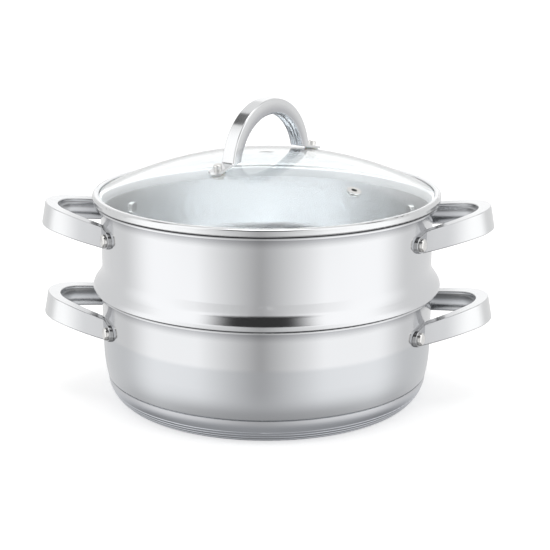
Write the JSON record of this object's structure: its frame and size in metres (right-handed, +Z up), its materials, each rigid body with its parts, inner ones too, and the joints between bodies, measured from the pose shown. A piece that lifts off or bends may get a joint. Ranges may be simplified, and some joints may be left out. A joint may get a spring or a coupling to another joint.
{
  "type": "steamer pot",
  "caption": "Stainless steel pot with a perforated steamer insert stacked on its rim and a domed glass lid with an arched handle.",
  "frame": {"origin": "centre of the base's underside", "axes": "+Z up through the lid, +X through the right-hand side handles, -Y towards a viewer in front"},
  "size_m": [0.3864, 0.2964, 0.2537],
  "materials": {
    "vessel_steel": "satin, drawn and polished sheet",
    "base_steel": "turned, with fine rings",
    "spreader_aluminium": "matt",
    "cast_handle_steel": "cast and polished",
    "rivet_steel": "polished",
    "band_steel": "rolled and polished",
    "lid_glass": "clear, tempered",
    "silicone": "matt, translucent"
  },
  "bodies": {
    "pot": {"pot_body": "vessel_steel", "heat_spreader_disc": "spreader_aluminium", "base_cap": "base_steel", "pot_handle_left": "cast_handle_steel", "pot_handle_right": "cast_handle_steel", "pot_rivet_left_front": "rivet_steel", "pot_rivet_left_back": "rivet_steel", "pot_rivet_right_front": "rivet_steel", "pot_rivet_right_back": "rivet_steel"},
    "steamer": {"steamer_body": "vessel_steel", "steamer_handle_left": "cast_handle_steel", "steamer_handle_right": "cast_handle_steel", "steamer_rivet_left_front": "rivet_steel", "steamer_rivet_left_back": "rivet_steel", "steamer_rivet_right_front": "rivet_steel", "steamer_rivet_right_back": "rivet_steel"},
    "lid": {"lid_glass": "lid_glass", "lid_rim_band": "band_steel", "lid_edge_gasket": "silicone", "vent_grommet": "band_steel", "lid_handle": "cast_handle_steel", "lid_rivet_front": "rivet_steel", "lid_rivet_back": "rivet_steel", "lid_upper_washer_front": "silicone", "lid_upper_washer_back": "silicone", "lid_lower_washer_front": "silicone", "lid_lower_washer_back": "silicone", "lid_backing_washer_front": "rivet_steel", "lid_backing_washer_back": "rivet_steel"}
  },
  "joints": [
    {"name": "steamer_lift", "type": "slide", "parent": "pot", "child": "steamer", "axis": [0, 0, 1], "range_m": [0, 0.12]},
    {"name": "lid_lift", "type": "slide", "parent": "steamer", "child": "lid", "axis": [0, 0, 1], "range_m": [0, 0.12]}
  ]
}
